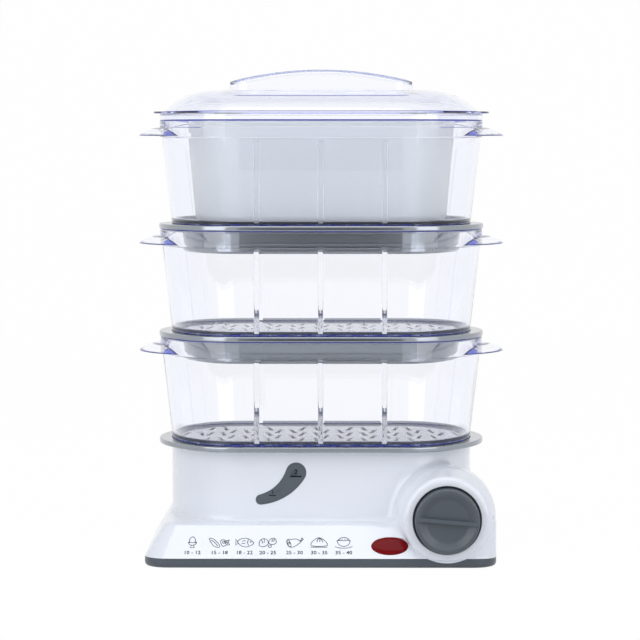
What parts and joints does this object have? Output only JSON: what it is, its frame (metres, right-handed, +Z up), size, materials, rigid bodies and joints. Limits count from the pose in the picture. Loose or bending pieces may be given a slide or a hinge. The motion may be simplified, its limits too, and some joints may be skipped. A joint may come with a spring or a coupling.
{
  "type": "electric food steamer",
  "caption": "Three-tier electric food steamer: white base with timer knob, lamp and water window, drip tray, stacked clear baskets with collars, rice bowl and domed lid.",
  "frame": {"origin": "on the table plane under the feet, on the vertical axis of the stacked baskets", "axes": "+Z up, -Y towards the user who faces the knob, +X to the user's right"},
  "size_m": [0.3068, 0.236, 0.4033],
  "materials": {
    "white_shell": "glossy moulded",
    "dark_plastic": "fine satin grain",
    "grey_plastic": "satin moulded",
    "clear_plastic": "clear moulded plastic",
    "bowl_plastic": "milky translucent plastic",
    "tank_plastic": "natural translucent plastic",
    "smoke_window": "polished smoke tint",
    "red_lens": "polished tinted lens",
    "lamp_glass": "clear glass",
    "steel": "brushed",
    "element_sheath": "cast",
    "inner_plastic": "matte moulded",
    "lead_insulation": "soft insulation",
    "seal_rubber": "matte",
    "foot_rubber": "matte"
  },
  "bodies": {
    "base": {"bottom_pan": "dark_plastic", "feet": "foot_rubber", "base_screws": "steel", "housing": "white_shell", "water_window": "smoke_window", "indicator_lens": "red_lens", "neon_lamp": "lamp_glass", "timer_body": "inner_plastic", "timer_bell": "steel", "timer_screws": "steel", "water_tank": "tank_plastic", "plate_seal": "seal_rubber", "heating_plate": "steel", "heating_element": "element_sheath", "heater_clamp": "steel", "clamp_screws": "steel", "thermostat": "steel", "thermal_fuse": "steel", "cord_gland": "seal_rubber", "terminal_block": "inner_plastic", "inner_leads": "lead_insulation"},
    "timer": {"timer_knob": "dark_plastic", "timer_shaft": "steel"},
    "steam_ring": {"steam_ring": "dark_plastic"},
    "drip_tray": {"drip_tray": "grey_plastic"},
    "lower_basket": {"lower_basket": "clear_plastic"},
    "lower_collar": {"lower_collar": "grey_plastic"},
    "middle_basket": {"middle_basket": "clear_plastic"},
    "upper_collar": {"upper_collar": "grey_plastic"},
    "upper_basket": {"upper_basket": "clear_plastic"},
    "rice_bowl": {"rice_bowl": "bowl_plastic"},
    "lid": {"lid": "clear_plastic"}
  },
  "joints": [
    {"name": "timer_turn", "type": "hinge", "parent": "base", "child": "timer", "pos_m": [0.102, -0.122, 0.0395], "axis": [0, 1, 0], "range_deg": [0, 300]},
    {"name": "steam_ring_lift", "type": "slide", "parent": "base", "child": "steam_ring", "axis": [0, 0, 1], "range_m": [0, 0.065]},
    {"name": "drip_tray_lift", "type": "slide", "parent": "steam_ring", "child": "drip_tray", "axis": [0, 0, 1], "range_m": [0, 0.03]},
    {"name": "lower_basket_lift", "type": "slide", "parent": "drip_tray", "child": "lower_basket", "axis": [0, 0, 1], "range_m": [0, 0.03]},
    {"name": "lower_collar_lift", "type": "slide", "parent": "lower_basket", "child": "lower_collar", "axis": [0, 0, 1], "range_m": [0, 0.03]},
    {"name": "middle_basket_lift", "type": "slide", "parent": "lower_collar", "child": "middle_basket", "axis": [0, 0, 1], "range_m": [0, 0.03]},
    {"name": "upper_collar_lift", "type": "slide", "parent": "middle_basket", "child": "upper_collar", "axis": [0, 0, 1], "range_m": [0, 0.03]},
    {"name": "upper_basket_lift", "type": "slide", "parent": "upper_collar", "child": "upper_basket", "axis": [0, 0, 1], "range_m": [0, 0.03]},
    {"name": "rice_bowl_lift", "type": "slide", "parent": "upper_basket", "child": "rice_bowl", "axis": [0, 0, 1], "range_m": [0, 0.09]},
    {"name": "lid_lift", "type": "slide", "parent": "rice_bowl", "child": "lid", "axis": [0, 0, 1], "range_m": [0, 0.06]}
  ]
}
